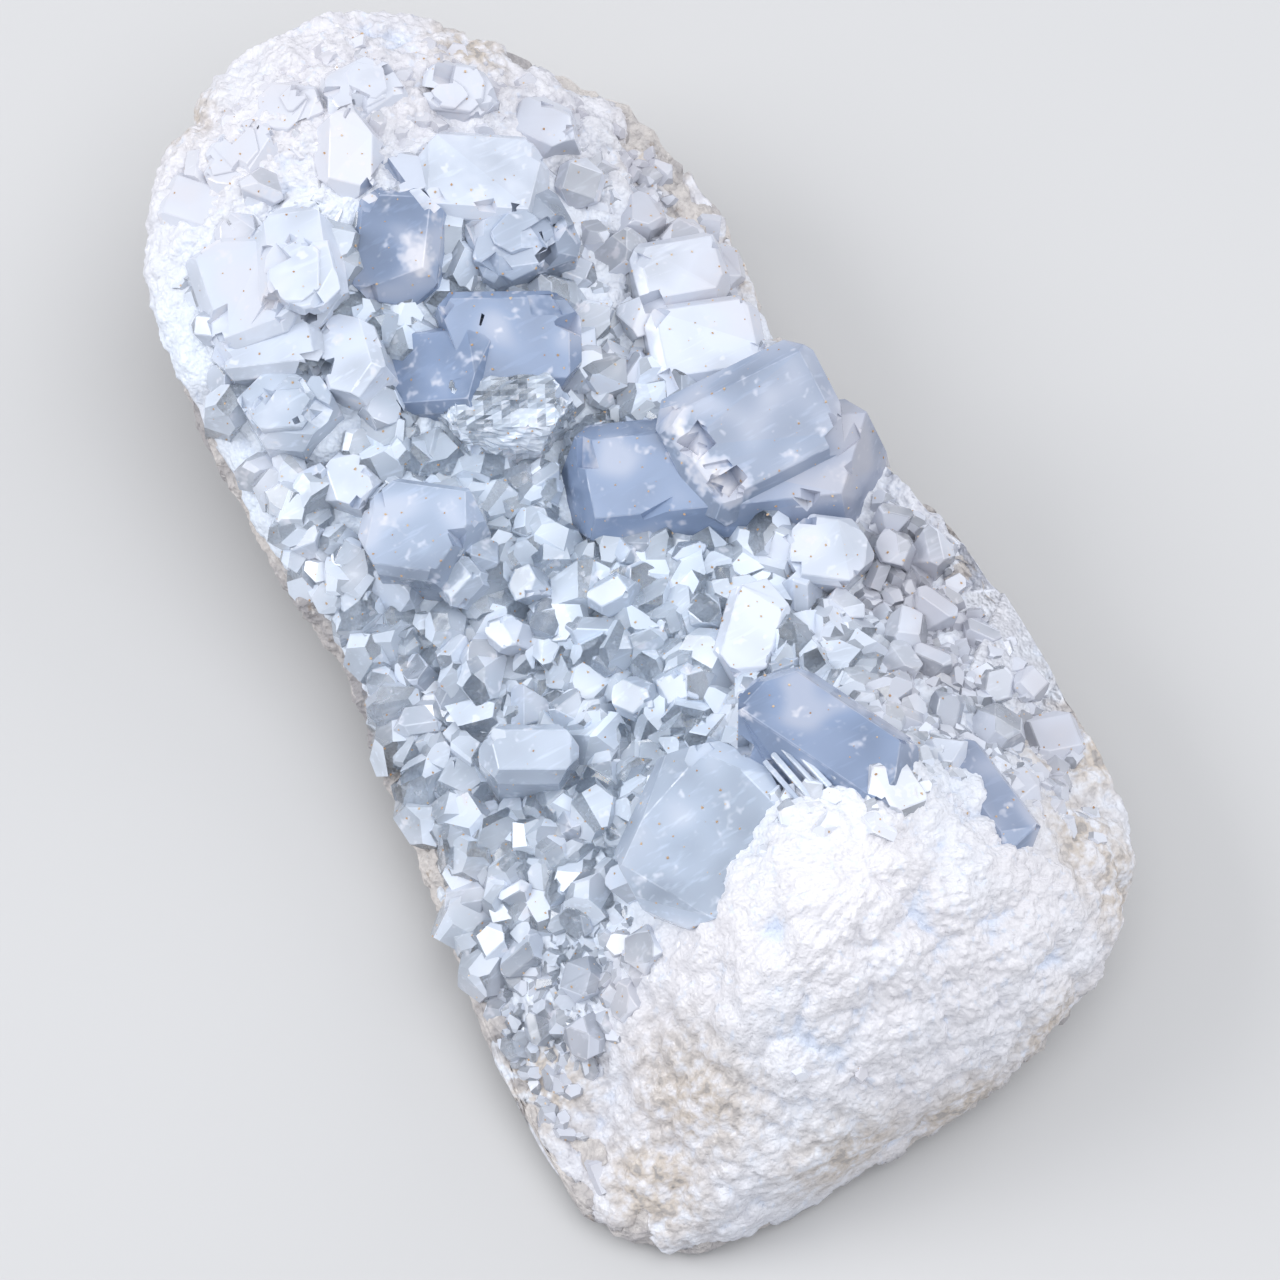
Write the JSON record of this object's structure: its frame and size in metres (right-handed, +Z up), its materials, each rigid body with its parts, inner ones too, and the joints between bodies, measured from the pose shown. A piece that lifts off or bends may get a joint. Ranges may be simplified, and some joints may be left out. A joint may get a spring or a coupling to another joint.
{
  "type": "celestite crystal cluster",
  "caption": "Hand-sized crystal cluster: blocky pale blue translucent crystals and white sugary crust on a cream and grey rock matrix, lying on its base",
  "frame": {"origin": "centre of the cluster's box at the level of the flat spot it rests on", "axes": "+Z up from the flat spot, +Y along the cluster towards its narrower end, +X to its right"},
  "size_m": [0.0641, 0.1257, 0.034],
  "materials": {
    "celestite": "translucent pale blue crystal, glassy faces, white sugary where massive",
    "matrix_rock": "rough granular rock, cream to grey-brown"
  },
  "bodies": {
    "root": {"celestite_crystals": "celestite", "rock_matrix": "matrix_rock"}
  },
  "joints": []
}
